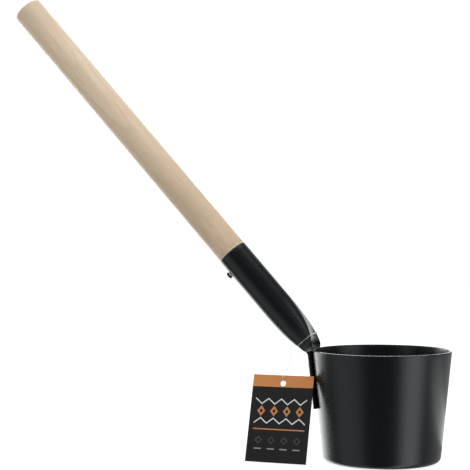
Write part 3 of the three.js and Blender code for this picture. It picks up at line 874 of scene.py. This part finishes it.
def neck_sections(station, inset):
    """Rings of the neck, one for each station, set in from its outside.

    A ring is two flats joined by round edges, spaced evenly from the middle of the cup's side. Near the fold
    the cup side's edges are squarer, as powers below one of the sine and cosine make them. The ring is bent
    round the cup on the strap and flat above the bend. So the fold between the two dips beside the middle,
    and each point slides down by the distance that the cup's wall falls back there, over the tangent of the
    bend. On the fold's hollow side the metal gathers, as a bell curve along the neck.
    """
    fold = near_fold(station)[:, None]
    thickness = half_thickness(station)
    radius = (thickness - inset)[:, None]
    gathered = FOLD_FILL * np.exp(-((station[:, None] / FOLD_FILL_REACH) ** 2))
    flat = (FLAT_RATIO * np.pi / 2 * (TUBE_RADIUS - thickness) - corner_trim(station))[:, None]
    quarters = 4 * np.arange(SECTION_POINTS) / SECTION_POINTS
    run = (flat + np.pi / 2 * radius) * np.abs((quarters + 1) % 2 - 1)
    side = np.where(quarters < 2, 1, -1)
    cup_side = (quarters < 1) | (quarters > 3)
    angle = np.maximum(run - flat, 0) / radius
    roundness = np.where(cup_side, 1 - FOLD_SQUARENESS * fold, 1)
    across = side * (np.minimum(run, flat) + radius * np.sin(angle) ** roundness)
    lift = np.where(cup_side, 1, -1) * radius * np.maximum(np.cos(angle), 0) ** roundness
    lift = np.where(cup_side, lift, lift * (1 + gathered / radius))
    middle, lean = neck_line(station)
    bow = wall_bow(station)[:, None]
    unbent = (np.sin(TILT - lean) / math.sin(TILT - TAPER))[:, None]
    turn_radius = bow / np.maximum(unbent, NEARLY_STRAIGHT)
    inward = turn_radius - (turn_radius - lift) * np.cos(across / turn_radius)
    sideways = (turn_radius - lift) * np.sin(across / turn_radius)
    fall_back = bow * (1 - np.cos(across / bow))
    dip = fold * fall_back * np.cos(TILT - lean)[:, None] / math.sin(TILT - TAPER)
    place = middle[:, None] + inward[..., None] * cupward(lean)[:, None]
    place = place - dip[..., None] * along(lean)[:, None]
    return place + sideways[..., None] * Y_AXIS


def socket_tube():
    """The tube as one skin: up the outside from the strap's sawn end, over the mouth and down the bore.

    The bore narrows to a fine slot between the strap's two walls. Both sawn edges are rounded by quarter
    circles, and the stations crowd towards the strap's end and the bend.
    """
    swing = np.linspace(0, np.pi / 2, CUT_ROWS)
    rising = CUT_EDGE * (1 - np.cos(swing))
    falling = CUT_EDGE * (1 - np.sin(swing))
    stations = np.concatenate([
        STRAP_END + CUT_EDGE + (STRAP_CORNER - CUT_EDGE) * np.linspace(0, 1, CORNER_ROWS) ** 2,
        np.linspace(STRAP_END + STRAP_CORNER, STRAP_TOP, STRAP_ROWS)[1:],
        np.linspace(STRAP_TOP, 0, BEND_ROWS)[1:],
        PRESS_RUN * np.linspace(0, 1, PRESS_ROWS)[1:] ** 2,
        np.linspace(PRESS_RUN, MOUTH - CUT_EDGE, SOCKET_ROWS)[1:],
    ])
    bore = np.concatenate([[MOUTH - CUT_EDGE], stations[-2::-1], [STRAP_END]])
    rows = np.concatenate([
        np.column_stack([STRAP_END + rising, falling])[:-1],
        np.column_stack([stations, 0 * stations]),
        np.column_stack([MOUTH - falling, rising])[1:],
        np.column_stack([MOUTH - rising, TUBE_WALL - falling])[:-1],
        np.column_stack([bore, np.minimum(TUBE_WALL, half_thickness(bore) - STRAP_SLOT / 2)]),
    ])
    piece = grid_piece("pressed_tube", neck_sections(rows[:, 0], rows[:, 1]), close_rows=True)
    dressed(piece, [COAT], "ladle", "socket_tube")


def wood_handle():
    """The handle as a profile carried round its axis: a chamfered tenon, a shoulder and a rounded end."""
    tenon = TUBE_RADIUS - TUBE_WALL - FIT
    tenon_end = SOCKET_LENGTH - SOCKET_ROUND + TENON_STANDOFF
    rim = HANDLE_RADIUS - HANDLE_END_ROUNDING
    corner = (HANDLE_RADIUS - SHOULDER_ROUNDING, SHOULDER + SHOULDER_ROUNDING)
    eased = arc(corner, SHOULDER_ROUNDING, -np.pi / 2, 0, EASED_STEPS)
    rounded = arc((rim, HANDLE_END - HANDLE_END_ROUNDING), HANDLE_END_ROUNDING, 0, np.pi / 2)
    profile = np.concatenate([
        [[0, tenon_end], [tenon - TENON_CHAMFER, tenon_end]],
        [[tenon, tenon_end + TENON_CHAMFER], [tenon, SHOULDER]],
        eased,
        line(eased[-1], rounded[0], GRIP_STEPS)[1:-1],
        rounded,
        line(rounded[-1], (0, HANDLE_END), HANDLE_END_STEPS)[1:],
    ])
    points = laid(turned(profile, TURNED_SIDES), BEND_CORNER, cupward(TILT), Y_AXIS, along(TILT))
    dressed(grid_piece("turned_handle", points), [WOOD], "ladle", "wood_handle")


def handle_screw():
    """A pan-head screw square to the tube, on a pale washer: a turned profile, its crown sunk in a cross.

    The cross is as deep as two soft steps allow: the lesser distance from its arms' middles under half their
    width, and the greater one under their reach.
    """
    seat = TUBE_RADIUS + FIT
    top = seat + SCREW_HEAD_HEIGHT
    tip = seat - SCREW_LENGTH
    under_head = seat + WASHER_HEIGHT
    washer_foot = TUBE_RADIUS + WASHER_AIR
    flat = SCREW_HEAD_RADIUS - SCREW_HEAD_ROUNDING
    profile = np.concatenate([
        line((0, top), (flat, top), CROWN_STEPS)[:-1],
        arc((flat, top - SCREW_HEAD_ROUNDING), SCREW_HEAD_ROUNDING, np.pi / 2, 0),
        [[SCREW_HEAD_RADIUS, under_head], [WASHER_RADIUS, under_head]],
        [[WASHER_RADIUS, washer_foot + WASHER_EDGE], [WASHER_RADIUS - WASHER_EDGE, washer_foot]],
        [[SCREW_RADIUS, washer_foot], [SCREW_RADIUS, tip + SCREW_POINT], [0, tip]],
    ])
    points = turned(profile, SMALL_SIDES)

    def soft_step(inside):
        return np.clip(inside / CROSS_SOFTNESS + 0.5, 0, 1)

    lesser, greater = np.moveaxis(np.sort(np.abs(points[..., :2]), axis=-1), -1, 0)
    cross = soft_step(CROSS_WIDTH / 2 - lesser) * soft_step(CROSS_REACH - greater)
    crown = points[..., 2] > top - SCREW_CROWN
    points[..., 2] -= crown * CROSS_DEPTH * cross
    place = BEND_CORNER + (SOCKET_LENGTH - SCREW_INSET) * along(TILT)
    points = laid(points, place, along(TILT), Y_AXIS, -cupward(TILT))
    piece = grid_piece("pan_screw", points)
    centre = np.empty(len(piece.data.polygons) * 3)
    piece.data.polygons.foreach_get("center", centre)
    height = (place - centre.reshape(-1, 3)) @ cupward(TILT)
    washer = (height > washer_foot - WELD) & (height < under_head - WELD)
    piece.data.polygons.foreach_set("material_index", washer.astype(int))
    dressed(piece, [SCREW_BLACK, WASHER_WHITE], "ladle", "handle_screw")


def rivet(node, drop):
    """A rivet square to the cup's wall: a shank between two low domes, each part of a sphere."""
    sphere = (RIVET_HEAD_RADIUS**2 + RIVET_HEAD_HEIGHT**2) / (2 * RIVET_HEAD_HEIGHT)
    spread = math.asin(RIVET_HEAD_RADIUS / sphere)
    wall_sag = RIVET_HEAD_RADIUS**2 / (2 * FOOT_RADIUS)
    inner = -CUP_SHEET - wall_sag - FIT
    outer = FIT + 2 * TUBE_WALL + FIT
    dome = arc((0, RIVET_HEAD_HEIGHT - sphere), sphere, np.pi / 2 - spread, np.pi / 2)
    dome[-1, 0] = 0
    profile = np.concatenate([
        (dome * [1, -1] + [0, inner])[::-1],
        [[RIVET_RADIUS, inner], [RIVET_RADIUS, outer]],
        dome + [0, outer],
    ])
    place = RIM_POINT - drop * along(TAPER)
    points = laid(turned(profile, SMALL_SIDES), place, along(TAPER), Y_AXIS, -cupward(TAPER))
    dressed(grid_piece(node + "_heads", points), [COAT], "ladle", node)


def tag_card():
    """The card: rays from its hole to its edge, on front and back, with its sides curled a little forward.

    A ray's point is a share of the way from the hole's circle to the card's outline, and the curl grows with
    the square of the distance across.
    """
    half = TAG_WIDTH / 2
    low = TAG_HEIGHT - TAG_HOLE_INSET
    corners = np.arctan2([TAG_HOLE_INSET, TAG_HOLE_INSET, -low, -low], [half, -half, half, -half])
    turn = np.unique(np.concatenate([np.linspace(-np.pi, np.pi, TAG_RAYS, endpoint=False), corners]))
    ray = np.stack([np.cos(turn), np.sin(turn)], axis=-1)
    run = np.maximum(np.abs(ray), NEARLY_NONE)
    to_side = half / run[:, 0]
    to_end = np.where(ray[:, 1] > 0, TAG_HOLE_INSET, low) / run[:, 1]
    outline = np.minimum(to_side, to_end)
    share = np.linspace(0, 1, TAG_RINGS)[:, None] ** TAG_CROWDING
    reach = TAG_HOLE_RADIUS + share * (outline - TAG_HOLE_RADIUS)
    flat = reach[..., None] * ray - [0, HOLE_DROP]
    curl = TAG_CURL * (flat[..., :1] / half) ** 2
    front = np.concatenate([flat, curl + TAG_SHEET / 2], axis=-1)
    back = np.concatenate([flat, curl - TAG_SHEET / 2], axis=-1)[::-1]
    points = laid(np.concatenate([front, back]), HANG, TAG_ACROSS, TAG_UP, TAG_FRONT)
    piece = grid_piece("printed_card", points, close_rows=True)
    measure_card(piece.data)
    dressed(piece, [PRINT, CARD_BACK, CARD_EDGE], "tag", "tag_card")


def measure_card(mesh):
    """Lays a map on the card, in metres across and up from the loop, and sorts faces by material.

    The front, the back and the cut edge follow from how far a face is turned to the card's front.
    """
    place = np.empty(len(mesh.vertices) * 3)
    mesh.vertices.foreach_get("co", place)
    across_up = (place.reshape(-1, 3) - HANG) @ np.stack([TAG_ACROSS, TAG_UP], axis=-1)
    corner = np.empty(len(mesh.loops), int)
    mesh.loops.foreach_get("vertex_index", corner)
    mesh.uv_layers.new(name="card").data.foreach_set("uv", across_up[corner].ravel())
    normal = np.empty(len(mesh.polygons) * 3)
    mesh.polygons.foreach_get("normal", normal)
    facing = normal.reshape(-1, 3) @ TAG_FRONT
    material = np.select([facing > TAG_FACING, facing < -TAG_FACING], [0, 1], 2)
    mesh.polygons.foreach_set("material_index", material)


# Studio light, by its heading from the camera's side: 0 towards the camera, positive to its right, 180
# behind. A softbox has a heading, a half width and the fade at its sides, a lowest and highest pitch and the
# fade at its ends, all in degrees, and a strength.
SOFTBOXES = {
    "right": (50, 6, 25, -60, -15, 50, 2.0),
    "left": (-68, 14, 26, -60, 25, 20, 0.5),
    "back_left": (-160, 16, 24, -70, 20, 25, 1.8),
    "side_left": (-138, 12, 20, -6, 25, 8, 2.8),
    "back": (150, 45, 40, -80, -10, 35, 0.33),
    "low_back": (168, 10, 12, 3, 18, 8, 1.5),
    "high_back": (180, 25, 30, 35, 60, 15, 1.0),
    "high_left": (-90, 50, 60, 45, 55, 20, 1.5),
}
TOP_LIGHT = {"start": 45, "stop": 70, "strength": 2.8}
ROOM_LIGHT = 0.1
BACKGROUND = 1.0
FULL_TURN = 360.0

# Broad soft lights by heading, pitch, spread and strength. They shade the wood and card and leave no glare.
SOFT_LIGHTS = {
    "key": (48, 31, 100, 0.3),
    "fill": (-40, -10, 180, 0.65),
}

# A bright patch of floor behind the cup and to its right, seen in its gloss alone
PATCH_SIZE = 500 * MM, 180 * MM
PATCH_ASIDE = 200 * MM
PATCH_BEHIND = 95 * MM
PATCH_RADIANCE = 1.0


def studio():
    """Plain soft studio light from the world: wide softboxes, each a smooth step in heading and in pitch.

    What the camera sees straight or through clear nylon is an even white.
    """
    world = bpy.data.worlds.new("studio")
    bpy.context.scene.world = world
    world.use_nodes = True
    graph = Graph(world.node_tree)
    direction = graph.add("ShaderNodeTexCoord").outputs["Generated"]
    sockets = {"Vector": direction, "Rotation": (0, 0, -CAMERA_TURN)}
    to_camera = graph.add("ShaderNodeMapping", sockets).outputs["Vector"]
    axes = graph.add("ShaderNodeSeparateXYZ", {"Vector": to_camera}).outputs
    toward = graph.calc("MULTIPLY", axes["Y"], -1.0)
    heading = graph.calc("DEGREES", graph.calc("ARCTAN2", axes["X"], toward))
    pitch = graph.calc("DEGREES", graph.calc("ARCSINE", axes["Z"]))
    top = graph.fade(pitch, TOP_LIGHT["start"], TOP_LIGHT["stop"], 0, TOP_LIGHT["strength"])
    light = graph.calc("ADD", ROOM_LIGHT, top)
    for middle, half_width, side_fade, low, high, end_fade, strength in SOFTBOXES.values():
        off = graph.calc("ABSOLUTE", graph.calc("SUBTRACT", heading, middle))
        off = graph.calc("MINIMUM", off, graph.calc("SUBTRACT", FULL_TURN, off))
        wide = graph.fade(off, half_width + side_fade, half_width)
        above = graph.fade(pitch, low - end_fade, low)
        below = graph.fade(pitch, high + end_fade, high)
        glow = graph.calc("MULTIPLY", wide, graph.calc("MULTIPLY", above, below))
        light = graph.calc("ADD", light, graph.calc("MULTIPLY", glow, strength))
    path = graph.add("ShaderNodeLightPath").outputs
    seen = graph.calc("MAXIMUM", path["Is Camera Ray"], path["Is Transmission Ray"])
    unseen = graph.calc("SUBTRACT", 1.0, seen)
    backdrop = graph.calc("MULTIPLY", seen, BACKGROUND)
    brightness = graph.calc("ADD", graph.calc("MULTIPLY", light, unseen), backdrop)
    background = graph.add("ShaderNodeBackground", {"Color": WHITE, "Strength": brightness})
    graph.add("ShaderNodeOutputWorld", {"Surface": background.outputs["Background"]})


def lamp(data, rotation):
    """A light with that rotation, which neither the camera nor the clear nylon shows."""
    light = bpy.data.objects.new(data.name, data)
    light.rotation_euler = rotation
    light.visible_camera = False
    light.visible_transmission = False
    bpy.context.scene.collection.objects.link(light)
    return light


def soft_lights():
    """The broad soft lights, from far away, each shining from its own heading and pitch."""
    for name, (heading, pitch, spread, strength) in SOFT_LIGHTS.items():
        heading, pitch = math.radians(heading), math.radians(pitch)
        level = math.cos(heading) * TOWARD_EYE + math.sin(heading) * PICTURE_RIGHT
        source = math.cos(pitch) * level + math.sin(pitch) * Z_AXIS
        sun = bpy.data.lights.new(name, "SUN")
        sun.energy = strength
        sun.angle = math.radians(spread)
        rotation = Vector(source).to_track_quat("Z", "Y").to_euler()
        lamp(sun, rotation).visible_glossy = False


def floor_patch():
    """The bright patch of floor, turned to shine up. Its power is pi times its area and its radiance."""
    patch = bpy.data.lights.new("floor_patch", "AREA")
    patch.shape = "RECTANGLE"
    patch.size, patch.size_y = PATCH_SIZE
    patch.energy = PATCH_RADIANCE * math.pi * patch.size * patch.size_y
    glow = lamp(patch, (math.pi, 0, -CAMERA_TURN))
    glow.location = PATCH_ASIDE * PICTURE_RIGHT - PATCH_BEHIND * TOWARD_EYE - FLOOR_DROP * Z_AXIS
    glow.visible_diffuse = False


def floor():
    """A plain pale floor just under the cup. Only the camera sees it, so it gives the cup no glare."""
    mesh = bpy.data.meshes.new("floor")
    corners = FLOOR_HALF * np.array([[-1, -1, 0], [1, -1, 0], [1, 1, 0], [-1, 1, 0]]) - FLOOR_DROP * Z_AXIS
    mesh.from_pydata(corners.tolist(), [], [(0, 1, 2, 3)])
    mesh.materials.append(FLOOR_WHITE)
    plane = bpy.data.objects.new("floor", mesh)
    plane.visible_diffuse = False
    plane.visible_glossy = False
    plane.visible_transmission = False
    plane.visible_shadow = False
    bpy.context.scene.collection.objects.link(plane)


camera()
tag_loop()
cup()
socket_tube()
wood_handle()
handle_screw()
for rivet_node, rivet_drop in RIVET_DROPS.items():
    rivet(rivet_node, rivet_drop)
tag_card()
studio()
soft_lights()
floor_patch()
floor()
bpy.context.scene.view_settings.view_transform = "Standard"
